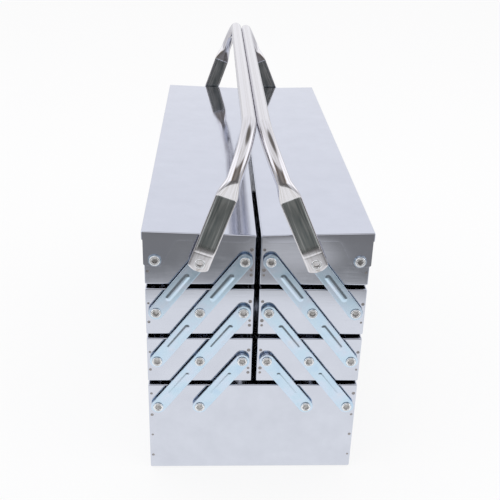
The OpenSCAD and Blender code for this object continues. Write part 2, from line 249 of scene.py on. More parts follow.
# %% Measure the frame
body_half_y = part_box("base_pan")[1].y / MM
sheet = 0.8
bend = 2.5
tray_bend = 1.3
hem_depth, hem_roll = 6.0, 1.05
flap = 15.0
outer_x, mid_x, inner_x = 90.5, 51.0, 11.5
base_z, tier = 77.5, 51.9
upper_z = base_z + 3 * tier
link_span = float(np.hypot(outer_x - mid_x, tier))
link_lean = float(np.arctan2(outer_x - mid_x, tier))
bore_r = 2.55
sides = {"right": 1, "left": -1}
ends = {"front": -1, "rear": 1}
print("pivot columns", outer_x, mid_x, inner_x, "link span", round(link_span, 2))


def at_end(points, side, end, x=0.0, z=0.0):
    """From a drawing on the end wall (X across, Y up, Z out of the wall) to its place: X is
    mirrored for the left side and Y for the rear end."""
    across = side * (points[..., 0].ravel() + x)
    outwards = end * (body_half_y + points[..., 2].ravel())
    return np.column_stack([across, outwards, points[..., 1].ravel() + z]).reshape(points.shape)


# %% [markdown]
# ## Finishes
# Four metals are seen: mirror-polished stainless sheet, blue-white zinc on the links and
# washers, a ground and polished handle tube, and bright rolled rivets. Each starts from a full
# metal with a near-white colour, because the studio gives it the light and dark that it shows.
# Colours are written as they look in sRGB and turned linear once.

# %% Node helpers
def linear(code):
    """An sRGB hex colour as linear RGBA: ((c + 0.055) / 1.055) ** 2.4, or c / 12.92 when dark."""
    c = np.array([int(code[i:i + 2], 16) for i in (1, 3, 5)]) / 255
    return (*np.where(c > 0.04045, ((c + 0.055) / 1.055) ** 2.4, c / 12.92).tolist(), 1.0)


def add(tree, kind, inputs=None, **settings):
    """Adds one node with its settings; an input is a value or another node's socket."""
    made = tree.nodes.new(kind)
    for key, value in settings.items():
        setattr(made, key, value)
    for key, value in (inputs or {}).items():
        if isinstance(value, bpy.types.NodeSocket):
            tree.links.new(value, made.inputs[key])
        else:
            made.inputs[key].default_value = value
    return made


def ramp(tree, value, stops):
    """A colour ramp through (position, hex) stops."""
    made = add(tree, "ShaderNodeValToRGB", {"Fac": value})
    points = made.color_ramp.elements
    points[0].position, points[0].color = stops[0][0], linear(stops[0][1])
    points[1].position, points[1].color = stops[-1][0], linear(stops[-1][1])
    for position, code in stops[1:-1]:
        points.new(position).color = linear(code)
    return made.outputs["Color"]


def start_material(name):
    """A metal's tree: its Principled shader and the piece's own coordinates in metres."""
    material = bpy.data.materials.new(name)
    material.use_nodes = True
    tree = material.node_tree
    shader = tree.nodes["Principled BSDF"]
    shader.inputs["Metallic"].default_value = 1.0
    place = add(tree, "ShaderNodeTexCoord").outputs["Object"]
    return material, tree, shader, place


# %% Mirror-polished stainless sheet
def polished_sheet(name, tones, haze, wave):
    """Bright-annealed 18/8 stainless: a cool mirror with slow waves of about 70 mm from rolling
    and folding, cloudy fingerprints of 25 mm, and fine polishing streaks of 1 mm drawn coarser
    than the real ones so that they show."""
    material, tree, shader, place = start_material(name)
    clouds = add(tree, "ShaderNodeTexNoise", {"Vector": place, "Scale": 40.0, "Detail": 4.0,
                                              "Roughness": 0.6})
    squeeze = add(tree, "ShaderNodeMapping", {"Vector": place, "Scale": (40.0, 40.0, 900.0)})
    streaks = add(tree, "ShaderNodeTexNoise", {"Vector": squeeze.outputs[0], "Scale": 1.0, "Detail": 3.0})
    tree.links.new(ramp(tree, clouds.outputs["Fac"], tones), shader.inputs["Base Color"])
    both = add(tree, "ShaderNodeMath", {0: clouds.outputs["Fac"], 1: streaks.outputs["Fac"]},
               operation="MULTIPLY")
    rough = add(tree, "ShaderNodeMapRange", {"Value": both.outputs[0], "From Min": 0.1,
                                             "From Max": 0.45, "To Min": haze[0], "To Max": haze[1]})
    tree.links.new(rough.outputs[0], shader.inputs["Roughness"])
    waves = add(tree, "ShaderNodeTexNoise", {"Vector": place, "Scale": 14.0, "Detail": 1.5})
    swell = add(tree, "ShaderNodeBump", {"Height": waves.outputs["Fac"], "Strength": 1.0,
                                         "Distance": wave})
    grain = add(tree, "ShaderNodeBump", {"Height": streaks.outputs["Fac"], "Strength": 0.25,
                                         "Distance": 2e-6, "Normal": swell.outputs[0]})
    tree.links.new(grain.outputs[0], shader.inputs["Normal"])
    return material


body_tones, body_haze, body_wave = [(0.3, "#CCD0DB"), (0.7, "#D3D7E2")], (0.06, 0.17), 0.0002
lid_tones, lid_haze, lid_wave = [(0.3, "#CDD1DD"), (0.7, "#D2D6E2")], (0.05, 0.12), 0.00002
stainless = polished_sheet("stainless_bright_annealed", body_tones, body_haze, body_wave)
lid_steel = polished_sheet("stainless_lid", lid_tones, lid_haze, lid_wave)
print("sheet finishes ready")

# %% Blue-white zinc plate
zinc, tree, shader, place = start_material("zinc_blue_passivated")
# Electroplated zinc with a blue passivation: pale blue with cloudy, slightly rainbow-tinted
# patches of about 14 mm and a soft satin gloss.
patches = add(tree, "ShaderNodeTexNoise", {"Vector": place, "Scale": 70.0, "Detail": 4.0,
                                           "Roughness": 0.55})
blues = [(0.3, "#BFD6EA"), (0.45, "#C7DCEC"), (0.6, "#CEDDEE"), (0.75, "#D6DEEA")]
tint = ramp(tree, patches.outputs["Fac"], blues)
tree.links.new(tint, shader.inputs["Base Color"])
specks = add(tree, "ShaderNodeTexNoise", {"Vector": place, "Scale": 1400.0, "Detail": 2.0})
rough = add(tree, "ShaderNodeMapRange", {"Value": patches.outputs["Fac"], "From Min": 0.3,
                                         "From Max": 0.7, "To Min": 0.15, "To Max": 0.26})
tree.links.new(rough.outputs[0], shader.inputs["Roughness"])
bump = add(tree, "ShaderNodeBump", {"Height": specks.outputs["Fac"], "Strength": 0.3, "Distance": 1e-5})
tree.links.new(bump.outputs[0], shader.inputs["Normal"])
print("zinc finish ready")

# %% Polished tube with satin flats
handle_steel, tree, shader, place = start_material("stainless_tube")
# Polished 304 tube whose ends were pressed flat: the press leaves a darker satin channel with an
# uneven end. Drawn lines along the tube are about 1 mm wide here, coarser than real ones so that
# they show. The piece's attribute "pressed" says where the press was, and "skin" is the place on
# the tube's own surface in millimetres.
pressed = add(tree, "ShaderNodeAttribute", attribute_name="pressed").outputs["Fac"]
skin = add(tree, "ShaderNodeAttribute", attribute_name="skin").outputs["Vector"]
along = add(tree, "ShaderNodeMapping", {"Vector": skin, "Scale": (0.9, 0.9, 0.035)})
lines = add(tree, "ShaderNodeTexNoise", {"Vector": along.outputs[0], "Scale": 1.0, "Detail": 3.0})
clouds = add(tree, "ShaderNodeTexNoise", {"Vector": skin, "Scale": 0.09, "Detail": 3.0})
uneven = add(tree, "ShaderNodeMath", {0: lines.outputs["Fac"], 1: 0.6, 2: pressed},
             operation="MULTIPLY_ADD")
channel = add(tree, "ShaderNodeMapRange", {"Value": uneven.outputs[0], "From Min": 0.78,
                                           "From Max": 1.15})
ground = ramp(tree, lines.outputs["Fac"], [(0.3, "#C4C0BE"), (0.5, "#DCDBDF"), (0.7, "#E4E3E8")])
satin_grey = ramp(tree, lines.outputs["Fac"], [(0.32, "#7E8687"), (0.5, "#979C9C"), (0.68, "#BEC1C0")])
tone = add(tree, "ShaderNodeMix", {0: channel.outputs[0], 6: ground, 7: satin_grey}, data_type="RGBA")
tree.links.new(tone.outputs[2], shader.inputs["Base Color"])
rough = add(tree, "ShaderNodeMapRange", {"Value": clouds.outputs["Fac"], "From Min": 0.3, "From Max": 0.7,
                                         "To Min": 0.09, "To Max": 0.17})
satin = add(tree, "ShaderNodeMath", {0: pressed, 1: 0.2, 2: rough.outputs[0]}, operation="MULTIPLY_ADD")
tree.links.new(satin.outputs[0], shader.inputs["Roughness"])
bump = add(tree, "ShaderNodeBump", {"Height": lines.outputs["Fac"], "Strength": 0.5, "Distance": 1e-5})
tree.links.new(bump.outputs[0], shader.inputs["Normal"])
print("tube finish ready")

# %% Rolled rivets
rivet_plate, tree, shader, place = start_material("rivet_nickel_white")
# Bright-plated mild steel: nearly white where the roll crests catch the light, with dull
# smears of about 2 mm left by the forming tool.
smears = add(tree, "ShaderNodeTexNoise", {"Vector": place, "Scale": 500.0, "Detail": 4.0})
bright = ramp(tree, smears.outputs["Fac"], [(0.3, "#DADDDF"), (0.6, "#F1F3F5")])
# The hollow's dull grey is painted shade: the recess is coloured darker than the rolled rim.
hollow = add(tree, "ShaderNodeAttribute", attribute_name="hollow").outputs["Fac"]
hollow_painted_shade = ramp(tree, smears.outputs["Fac"], [(0.3, "#8A8886"), (0.6, "#B4B3B3")])
tone = add(tree, "ShaderNodeMix", {0: hollow, 6: bright, 7: hollow_painted_shade}, data_type="RGBA")
tree.links.new(tone.outputs[2], shader.inputs["Base Color"])
rough = add(tree, "ShaderNodeMapRange", {"Value": smears.outputs["Fac"], "From Min": 0.3, "From Max": 0.7,
                                         "To Min": 0.32, "To Max": 0.16})
tree.links.new(rough.outputs[0], shader.inputs["Roughness"])
bump = add(tree, "ShaderNodeBump", {"Height": smears.outputs["Fac"], "Strength": 0.4, "Distance": 2e-5})
tree.links.new(bump.outputs[0], shader.inputs["Normal"])
print("rivet finish ready")

# %% Heat-tinted spot welds
weld_tint, tree, shader, place = start_material("weld_heat_tint")
# Spot welds on stainless: straw and brown oxide round a dull grey dimple of about 2.5 mm.
oxide = add(tree, "ShaderNodeTexNoise", {"Vector": place, "Scale": 700.0, "Detail": 3.0})
colours = [(0.3, "#77757B"), (0.5, "#A5A2A2"), (0.7, "#8E8580")]
tree.links.new(ramp(tree, oxide.outputs["Fac"], colours), shader.inputs["Base Color"])
shader.inputs["Roughness"].default_value = 0.38
bump = add(tree, "ShaderNodeBump", {"Height": oxide.outputs["Fac"], "Strength": 0.5, "Distance": 3e-5})
tree.links.new(bump.outputs[0], shader.inputs["Normal"])
print("weld finish ready")

# %% [markdown]
# ## The folded pans
# Each tray and the bottom box is one blank whose walls are folded up and whose rims are folded
# back inwards, so no edge is sharp. Seven pans share one shape: the wall's section, from the
# underside round the bottom bend, up to the rolled rim, down the folded leaf and back along the
# inside, is carried round a rectangle with rounded corners.

# %% Pans
def pan_section(height, corner):
    """The wall's section as (distance in from the outer face, height above the underside): the
    bottom bend, the hem's open roll, its leaf and the inside of the wall."""
    leaf_in, leaf_low = 2 * hem_roll, height - hem_depth
    leaf = rounded([(leaf_in, height - hem_roll), (leaf_in, leaf_low), (leaf_in - sheet, leaf_low),
                    (leaf_in - sheet, leaf_low + 2), (sheet, leaf_low + 2), (sheet, corner)],
                   0.15, 3, closed=False)
    return np.concatenate([arc((corner, corner), corner, 270, 180, 8),
                           arc((hem_roll, height - hem_roll), hem_roll, 180, 0, 11), leaf[1:-1],
                           arc((corner, corner), corner - sheet, 180, 270, 6)])


def rectangle_rings(half_x, half_y, distance, corner, steps=7):
    """Rectangles moved inwards by each distance. A corner's radius shrinks by the same distance
    down to 0.15 mm, and its centre lies that far inside both sides."""
    radius = np.maximum(corner - distance, 0.15)[:, None]
    turn = (np.arange(4)[:, None] * np.pi / 2 + np.linspace(0, np.pi / 2, steps)).ravel()
    sign_x, sign_y = np.repeat([1, -1, -1, 1], steps), np.repeat([1, 1, -1, -1], steps)
    across = sign_x * (half_x - distance[:, None] - radius) + radius * np.cos(turn)
    along = sign_y * (half_y - distance[:, None] - radius) + radius * np.sin(turn)
    return across, along


def pan_shells(lo, hi, corner):
    """The pan that fills a box, and the two side walls' flaps welded behind each end wall."""
    middle, half = (lo + hi) / 2, (hi - lo) / 2
    height = hi[2] - lo[2]
    section = pan_section(height, corner)
    across, along = rectangle_rings(half[0], half[1], section[:, 0], corner=1.2)
    heights = np.repeat(section[:, 1:] + lo[2], across.shape[1], 1)
    rings = np.stack([across + middle[0], along, heights], -1)
    shells = [swept(rings)]
    edge = half[0] - sheet
    outline = rounded([(edge - flap, bend), (edge, bend), (edge, height - hem_depth),
                       (edge - flap, height - hem_depth)], [3, 0.3, 0.3, 3])
    for side in sides.values():
        for end in ends.values():
            points, faces = plate(outline, sheet - 0.05, 2 * sheet, 0.15)
            points = np.column_stack([side * points[:, 0] + middle[0], end * (half[1] - points[:, 2]),
                                      points[:, 1] + lo[2]])
            shells.append((points, faces))
    return shells


pan_names = ["base_pan"] + [f"{s}_{t}_pan" for s in sides for t in ("lower", "middle", "upper")]
for name in pan_names:
    lo, hi = (np.array(corner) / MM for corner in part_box(name))
    shells = pan_shells(lo, hi, bend if name == "base_pan" else tray_bend)
    piece = make_piece(name + "_folded", shells, stainless, nodes[name]["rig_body"], [name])
    print(piece.name, len(piece.data.polygons), "faces")

# %% [markdown]
# ## Spot welds
# The flaps are held behind the end walls by a column of spot welds near each vertical edge.
# A weld could be a bump in the material, but its little crater also catches the light at the
# rim, so it is a shallow turned ring that stands 0.05 mm proud.

# %% Spot welds
weld_profile = [(0, 0.01), (0.5, 0.012), (0.85, 0.04), (1.1, 0.05), (1.3, 0.025), (1.4, -0.05),
                (0, -0.05)]
base_welds = [(97.0, z) for z in (16.0, 41.0, 65.0, 90.0)]


def tray_welds(bottom):
    """Two welds at the outer edge of a tray and three at its inner edge."""
    outer_weld, inner_weld = 97.3, 5.6
    return [(outer_weld, bottom + 13.0), (outer_weld, bottom + 32.5), (inner_weld, bottom + 9.8),
            (inner_weld, bottom + 14.8), (inner_weld, bottom + 34.8)]


def weld_shells(places, sides_used):
    """One crater at each place of each side and end. Their sizes go from 0.8 to 1.3, spread by
    the golden section: the fraction left of 0.618 * number, shifted by side and end."""
    rings = lathe(weld_profile, 20)
    shells = []
    for side in sides_used:
        for end in ends.values():
            for number, (x, z) in enumerate(places):
                size = 0.8 + 0.5 * ((number * 0.618 + 0.3 * side + 0.2 * end) % 1)
                shells.append(swept(at_end(rings * (size, size, 1), side, end, x, z), caps=False))
    return shells


make_piece("base_spot_welds", weld_shells(base_welds, (1, -1)), weld_tint, "base")
for s, side in sides.items():
    for tier_name in ("lower", "middle", "upper"):
        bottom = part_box(f"{s}_{tier_name}_pan")[0].z / MM
        body = nodes[f"{s}_{tier_name}_pan"]["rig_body"]
        make_piece(f"{s}_{tier_name}_spot_welds", weld_shells(tray_welds(bottom), (side,)),
                   weld_tint, body)
print("spot welds ready")

# %% [markdown]
# ## The lids
# A lid is one blank too: a gently sloping plate, a side flange, and end strips that widen into
# the lugs round the hinge rivets. Its skin is again a section carried round a rectangle, but
# the flange's depth changes along the way, from the folded nose at the free edge to the lug.

# %% Lids
lid_side_x, lid_inner_x, lid_top = 101.9, 1.9, 260.7
lid_fall = 260.7 - 257.6
lid_slope = lid_fall / (lid_side_x - lid_inner_x)
lid_half_x, lid_half_y = (lid_side_x - lid_inner_x) / 2, 251.8
lid_middle = (lid_side_x + lid_inner_x) / 2
nose_depth, strip_depth, side_depth = 1.6, 7.0, 8.0


def lid_plane(x):
    """Height of the lid's top face at x: it falls by 3.1 mm over its width."""
    return lid_top - lid_slope * (lid_side_x - x)


def end_strip():
    """The end flange's lower boundary as (x, depth), from the free edge to the side flange."""
    strip = [(3.2, nose_depth), (6.8, nose_depth), (6.8, strip_depth), (71.8, strip_depth),
             (85.3, lid_plane(85.3) - 226.0), (100.65, lid_plane(100.65) - 228.2), (100.66, side_depth)]
    line = rounded(strip[:6] + [(100.66, side_depth)], [0, 0.3, 4.6, 7.0, 6.5, 1.6, 0], 8, closed=False)
    return line


def lid_stations():
    """Stations round the plate: kind of corner or fixed x, and the flange's depth at each."""
    line = end_strip()
    quarter = np.linspace(0, np.pi / 2, 6)
    rows = []
    rows += [(1, 1, a, np.nan, side_depth) for a in quarter]
    rows += [(0, 1, np.pi / 2, x, d) for x, d in line[::-1]]
    rows += [(-1, 1, np.pi / 2 + a, np.nan, nose_depth) for a in quarter]
    rows += [(-1, -1, np.pi + a, np.nan, nose_depth) for a in quarter]
    rows += [(0, -1, -np.pi / 2, x, d) for x, d in line]
    rows += [(1, -1, -np.pi / 2 + a, np.nan, side_depth) for a in quarter]
    return np.array(rows)


def lid_shells(side):
    """The skin over all stations, and the leaf of the folded nose under the free edge."""
    table = lid_stations()
    roll, edge = 1.2, 0.12
    sign_x, sign_y, turn, fixed_x, depth = (column[None, :] for column in table.T)
    top = arc((roll, -roll), roll, 90, 180, 7)
    inner_top = arc((roll, -roll), roll - sheet, 180, 90, 5)
    rim = arc((edge, 0), edge, 180, 270, 4), arc((sheet - edge, 0), edge, 270, 360, 4)
    rim = np.concatenate(rim)
    flat_in = [roll + 0.1]
    distance = np.concatenate([flat_in, top[:, 0], rim[:, 0], inner_top[:, 0], flat_in])[:, None]
    fixed = np.concatenate([[0], -top[:, 1], np.zeros(8), -inner_top[:, 1], [sheet]])[:, None]
    at_rim = np.concatenate([np.zeros(8), np.ones(8), np.zeros(6)])[:, None]
    lift = np.concatenate([np.zeros(8), -rim[:, 1] - edge, np.zeros(6)])[:, None]
    drop = fixed + at_rim * depth + lift
    radius = np.maximum(1.2 - distance, 0.15)
    corner_x = sign_x * (lid_half_x - distance - radius) + radius * np.cos(turn)
    across = np.where(sign_x == 0, np.nan_to_num(fixed_x - lid_middle), corner_x)
    along = np.where(sign_x == 0, sign_y * (lid_half_y - distance),
                     sign_y * (lid_half_y - distance - radius) + radius * np.sin(turn))
    x = across + lid_middle
    rings = np.stack([side * x, along, lid_plane(x) - drop], -1)
    leaf_near, leaf_far, leaf_end = lid_inner_x + 0.7, lid_inner_x + 6, lid_half_y - 2
    leaf = rounded([(leaf_near, -leaf_end), (leaf_far, -leaf_end), (leaf_far, leaf_end),
                    (leaf_near, leaf_end)], [0.3, 1.5, 1.5, 0.3])
    points, faces = plate(leaf, 0, sheet, 0.2)
    under = lid_plane(points[:, 0]) - sheet - points[:, 2]
    points = np.column_stack([side * points[:, 0], points[:, 1], under])
    return [swept(rings), (points, faces)]


for s, side in sides.items():
    piece = make_piece(f"{s}_lid_folded", lid_shells(side), lid_steel, nodes[f"{s}_lid"]["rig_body"],
                       [f"{s}_lid"])
    print(piece.name, len(piece.data.polygons), "faces")

# %% [markdown]
# ## The links
# A link is a 2 mm strip with round ends and a rib pressed into each span, so that it doesn't
# buckle. Its outer face is a grid: one direction runs along the link and the other across it.
# The rib's height depends only on the distance from its middle line.

# %% Links
link_half, link_thick = 7.0, 2.0
link_seat = 2.2
rib_length, rib_half, rib_high = 33.0, 3.1, 0.48
rib_crown = 0.2


def link_shell(spans):
    """A section loop at stations along the link. At the round ends the station's half width
    follows the circle, and every loop point keeps its own inset, so the rim stays rounded."""
    reach = spans * link_span
    edge = 0.35
    tip = np.linspace(0, np.pi / 2, 10)
    straight = [np.linspace(0, reach, 3 * spans + 1)[1:-1]]
    for span in range(spans):
        for middle in ((link_span - rib_length) / 2, (link_span + rib_length) / 2):
            straight.append(span * link_span + middle + np.linspace(-3.6, 3.6, 17))
    straight = np.unique(np.concatenate(straight))
    pull = np.concatenate([-np.cos(tip), np.zeros(len(straight)), np.sin(tip)])[:, None]
    base = np.concatenate([np.zeros(10), straight, np.full(10, reach)])[:, None]
    wide = np.concatenate([np.sin(tip), np.ones(len(straight)), np.cos(tip)])[:, None]
    share = np.array([0.08, 0.14, 0.19, 0.24, 0.29, 0.34, 0.39, 0.43, 0.47, 0.5, 0.6, 0.8, 1.0])
    share = np.concatenate([-share[::-1], [0], share])
    turn = np.radians(np.linspace(0, 90, 5))[1:-1]
    rim_in, rim_up = edge * (1 - np.sin(turn)), edge * (1 - np.cos(turn))
    loop = [(f, edge, 1.0, 0) for f in share]
    loop += [(1, i, 0, link_thick - u) for i, u in zip(rim_in, rim_up)]
    loop += [(1, 0, 0, link_thick - edge), (1, 0, 0, edge)]
    loop += [(1, i, 0, u) for i, u in zip(rim_in[::-1], rim_up[::-1])]
    loop += [(f, edge, -1.0, 0) for f in share[::-1]]
    loop += [(-1, i, 0, u) for i, u in zip(rim_in, rim_up)]
    loop += [(-1, 0, 0, edge), (-1, 0, 0, link_thick - edge)]
    loop += [(-1, i, 0, link_thick - u) for i, u in zip(rim_in[::-1], rim_up[::-1])]
    fraction, inwards, face, level = (column[None, :] for column in np.array(loop).T)
    half = link_half - inwards
    across = fraction * half * wide
    along = base + pull * half
    rib = np.zeros_like(across)
    for span in range(spans):
        start = span * link_span + (link_span - rib_length) / 2 + rib_half
        beyond = along - np.clip(along, start, start + rib_length - 2 * rib_half)
        away = np.clip((np.hypot(beyond, across) / rib_half - rib_crown) / (1 - rib_crown), 0, 1)
        rib += rib_high * (0.5 + 0.5 * np.cos(np.pi * away))
    height = np.where(face > 0, link_thick + rib, np.where(face < 0, rib, level))
    return np.stack([across, along, height], -1)


def turned(points, angle):
    """Turns a drawing in the wall's plane about its origin, against the clock."""
    c, s = np.cos(angle), np.sin(angle)
    return np.stack([c * points[..., 0] - s * points[..., 1], s * points[..., 0] + c * points[..., 1],
                     points[..., 2] + link_seat], -1)


link_feet = {"base_link": (mid_x, base_z, 1), "lower_link": (outer_x, base_z, 2),
             "middle_link": (outer_x, base_z + tier, 2), "upper_link": (outer_x, base_z + 2 * tier, 1)}
for s, side in sides.items():
    for kind, (x, z, spans) in link_feet.items():
        rings = turned(link_shell(spans), link_lean)
        for e, end in ends.items():
            name = f"{s}_{kind}_{e}"
            piece = make_piece(name + "_pressed", [swept(at_end(rings, side, end, x, z))], zinc,
                               nodes[name]["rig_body"], [name])
print("links with", len(piece.data.polygons), "faces each for one span")

# %% [markdown]
# ## Rivets and washers
# The rivets are tubes whose mouths were rolled outwards by a splined tool, which leaves six
# soft lobes round a deep hollow. The head is a turned shape whose radius swells and shrinks six
# times round. The hollow is painted a duller grey than the rolled rim: painted shade of the
# recess. Washers are plain turned rings that keep the links clear of the walls.

# %% Rivets
head_profile = np.array([
    (0.0, 0.2), (1.3, 0.16), (2.2, 0.18), (2.6, 0.36), (2.8, 0.78), (3.05, 1.14), (3.38, 1.34),
    (3.75, 1.4), (4.15, 1.3), (4.5, 1.08), (4.72, 0.76), (4.8, 0.42), (4.78, 0.18), (4.65, 0.02),
    (4.0, 0.0), (2.5, 0.0)])
lobe_share = np.array([0, 0.2, 0.7, 1.0, 1.0, 0.85, 0.6, 0.35, 0.2, 0.12, 0.1, 0.1, 0.1, 0.1, 0, 0])
lobe_height, lobe_count = 0.3, 6
hollow_edge, hollow_blend = 3.1, 0.5


def rivet_shell(seat, grip):
    """Head, shank and foot as one turned profile; in the head each point's radius r becomes
    r + share * height * cos(6 * angle)."""
    around = 48
    foot = np.array([(2.5, 0), (3.8, 0), (4.0, -0.2), (4.0, -0.75), (3.7, -1.0), (1.9, -1.0),
                     (1.5, -0.7), (0.0, -0.7)]) - (0, grip)
    profile = np.concatenate([head_profile + (0, seat), foot])
    share = np.concatenate([lobe_share, np.zeros(len(foot))])
    turn = np.linspace(0, 2 * np.pi, around, endpoint=False)
    radius = profile[:, :1] + lobe_height * share[:, None] * np.cos(lobe_count * turn)
    heights = np.repeat(profile[:, 1:], around, 1)
    return np.stack([radius * np.cos(turn), radius * np.sin(turn), heights], -1)


def mark_painted_hollow_shade(piece, axes):
    """Gives each point 1 in a rivet's hollow, where shade is painted, and 0 on its rolled rim: a
    smooth step of the point's distance from the nearest rivet's axis."""
    points = np.empty(len(piece.data.vertices) * 3)
    piece.data.vertices.foreach_get("co", points)
    across = points.reshape(-1, 3)[:, None, ::2] / MM - axes
    away = np.hypot(across[..., 0], across[..., 1]).min(1)
    share = np.clip((hollow_edge - away) / hollow_blend, 0, 1)
    hollow = piece.data.attributes.new("hollow", "FLOAT", "POINT")
    hollow.data.foreach_set("value", share * share * (3 - 2 * share))


link_head, flap_grip, wall_grip = 4.5, 2 * sheet, sheet
lower_row, middle_row = base_z + tier, base_z + 2 * tier
rivet_rows = {"base_rivets": [(mid_x, base_z, link_head), (outer_x, base_z, link_head)]}
for s in sides:
    for row_name, z in (("lower", lower_row), ("middle", middle_row)):
        rivet_rows[f"{s}_{row_name}_rivets"] = [(x, z, link_head) for x in (inner_x, mid_x, outer_x)]
    rivet_rows[f"{s}_upper_rivets"] = [(inner_x, upper_z, link_head)]
    rivet_rows[f"{s}_lid_rivets"] = [(outer_x, upper_z, 2.7)]
    rivet_rows[f"{s}_handle_rivets"] = [(mid_x, upper_z, 8.0)]
for name, places in rivet_rows.items():
    shells = []
    for side in ((1, -1) if name.startswith("base") else (sides[name.split("_")[0]],)):
        for end in ends.values():
            for x, z, seat in places:
                rings = rivet_shell(seat, wall_grip if x == mid_x else flap_grip)
                shells.append(swept(at_end(rings, side, end, x, z), caps=False))
    piece = make_piece(name + "_rolled", shells, rivet_plate, nodes[name]["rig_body"], [name])
    mark_painted_hollow_shade(piece, np.array([(side * x, z) for side in (1, -1) for x, z, seat in places]))
print(len(rivet_rows), "sets of rivets")

# %% Washers
washer_r = 5.75


def washer_shell(seat, thickness):
    """A ring with rounded edges of 0.25 mm: its rectangular section is turned about the rivet."""
    top = seat + thickness
    section = rounded([(bore_r, seat), (washer_r, seat), (washer_r, top), (bore_r, top)], 0.25, 4)
    return lathe(np.concatenate([section, section[:1]]), 48)


washer_rows = {"base_washers": [(mid_x, base_z, 0, 1.9), (outer_x, base_z, 0, 1.9)]}
for s in sides:
    for row_name, z in (("lower", lower_row), ("middle", middle_row)):
        washer_rows[f"{s}_{row_name}_washers"] = [(x, z, 0, 1.9) for x in (inner_x, mid_x, outer_x)]
    washer_rows[f"{s}_upper_washers"] = [(inner_x, upper_z, 0, 1.9), (mid_x, upper_z, 0, 1.9)]
    washer_rows[f"{s}_lid_washers"] = [(outer_x, upper_z, 2.1, 0.6)]
for name, places in washer_rows.items():
    shells = []
    for side in ((1, -1) if name.startswith("base") else (sides[name.split("_")[0]],)):
        for end in ends.values():
            for x, z, seat, thickness in places:
                shells.append(swept(at_end(washer_shell(seat, thickness), side, end, x, z), caps=False))
    make_piece(name + "_turned", shells, zinc, nodes[name]["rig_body"], [name])
print(len(washer_rows), "sets of washers")

# %% [markdown]
# ## The handles
# A handle is one tube, bent twice, whose two ends were pressed flat and riveted to the top
# tray. A ring of points is carried along its middle line. On the flat the ring is a rounded bar
# with a shallow channel, and over the shoulder it turns into a circle.

# %% Handle sections
tube_r, flat_half, flat_half_w = 6.5, 1.6, 9.5
flat_y, tube_y = -256.1, -261.0
handle_height, handle_bend = 122.0, 45.0
flat_length, shoulder = 65.5, 19.0
channel_deep = 0.6


def ease(a, b, value):
    """Smooth step from 0 at a to 1 at b: 3 t t - 2 t t t."""
    t = np.clip((value - a) / (b - a), 0, 1)
    return t * t * (3 - 2 * t)


def handle_stations():
    """Half of the handle as rows of y, height, turn, half width, half thickness, channel depth,
    roundness, how satin the surface is, and the length along the tube. The thickness grows as
    (8 t - t ** 8) / 7 over the shoulder: a straight ramp that ends level. A pressed tube keeps
    its girth, so its width stays large until it is nearly round."""
    tip = -4 * (1 + np.cos(np.linspace(0, np.pi / 2, 9)))
    arc_start = handle_height - handle_bend
    tab = [-2, 0, 4, 8, 9.2, 9.6, 10.0, 11, 12, 13.5, 15, 17, 19]
    s = np.concatenate([tip, tab, np.linspace(23, 61, 8), flat_length + np.array([-2, -0.6, -0.1]),
                        flat_length + np.linspace(0, shoulder, 34),
                        arc_start + handle_bend * np.linspace(0.18, np.pi / 2, 26)])
    t = np.clip((s - flat_length) / shoulder, 0, 1)
    share = (8 * t - t ** 8) / 7
    turn = np.maximum(s - arc_start, 0) / handle_bend
    arch = 6 * np.maximum(0, -s / 4 - 1) ** 2
    crease = 0.12 * np.exp(-((s - 9.6) / 0.5) ** 2)
    pressed = ease(12, 18, s) * (1 - ease(flat_length - 0.1, flat_length + 0.5, s))
    tilt = 0.07 * np.clip(s + 8, 0, 24) * (1 - share)
    inwards = (flat_y - tube_y) * (1 - share) - tilt
    y = tube_y + handle_bend * (1 - np.cos(turn)) + inwards * np.cos(turn)
    u = np.minimum(s, arc_start) + handle_bend * np.sin(turn) - inwards * np.sin(turn)
    width = flat_half_w - arch + (tube_r - flat_half_w) * share ** 1.6
    near = np.column_stack([y, u, turn, width, flat_half - crease + (tube_r - flat_half) * share,
                            channel_deep * pressed, share, 0.35 * (s < flat_length) + 0.65 * pressed, s])
    far = near[::-1] * (-1, 1, 1, 1, 1, 1, 1, 1, 1)
    far[:, 2] = np.pi - far[:, 2]
    return np.concatenate([near, far])


def handle_rings(around=72):
    """Each ring is a superellipse: its exponents go from nearly square on the flat to a circle,
    and the channel is taken off both faces between its two rims. Each point also keeps its
    place on the tube's own skin, as a circle of the tube's radius and the length along it."""
    y, u, turn, half_w, half_t, deep, roundness, satin, length = (c[:, None] for c in handle_stations().T)
    angle = np.linspace(0, 2 * np.pi, around, endpoint=False)[None, :]
    c, n = np.cos(angle), np.sin(angle)
    across = np.sign(c) * np.abs(c) ** (0.6 + 0.4 * roundness)
    bar = np.sign(n) * np.abs(n) ** (0.3 + 0.7 * roundness)
    sunk = np.sign(n) * deep * (1 - ease(0.74, 0.88, np.abs(across)))
    out = half_t * bar - sunk
    rings = np.stack([half_w * across, y - out * np.cos(turn), u + out * np.sin(turn)], -1)
    pressed = satin * (1 - 0.8 * ease(0.8, 0.92, np.abs(across)))
    skin = np.stack(np.broadcast_arrays(tube_r * c, tube_r * n, length + 0 * c), -1)
    return rings, pressed, skin


# %% Handles
leans = {"left": 19.637, "right": 23.161}
for s, side in sides.items():
    rings, pressed, skin = handle_rings()
    lean = np.radians(leans[s])
    x = mid_x - rings[..., 2] * np.sin(lean) + rings[..., 0] * np.cos(lean)
    z = upper_z + rings[..., 2] * np.cos(lean) + rings[..., 0] * np.sin(lean)
    placed = np.stack([side * x, rings[..., 1], z], -1)
    piece = make_piece(f"{s}_handle_bent", [swept(placed)], handle_steel, nodes[f"{s}_handle"]["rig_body"],
                       [f"{s}_handle"])
    piece.data.attributes.new("pressed", "FLOAT", "POINT").data.foreach_set("value", pressed.ravel())
    piece.data.attributes.new("skin", "FLOAT_VECTOR", "POINT").data.foreach_set("vector", skin.ravel())
    print(piece.name, len(piece.data.vertices), "points of", pressed.size)

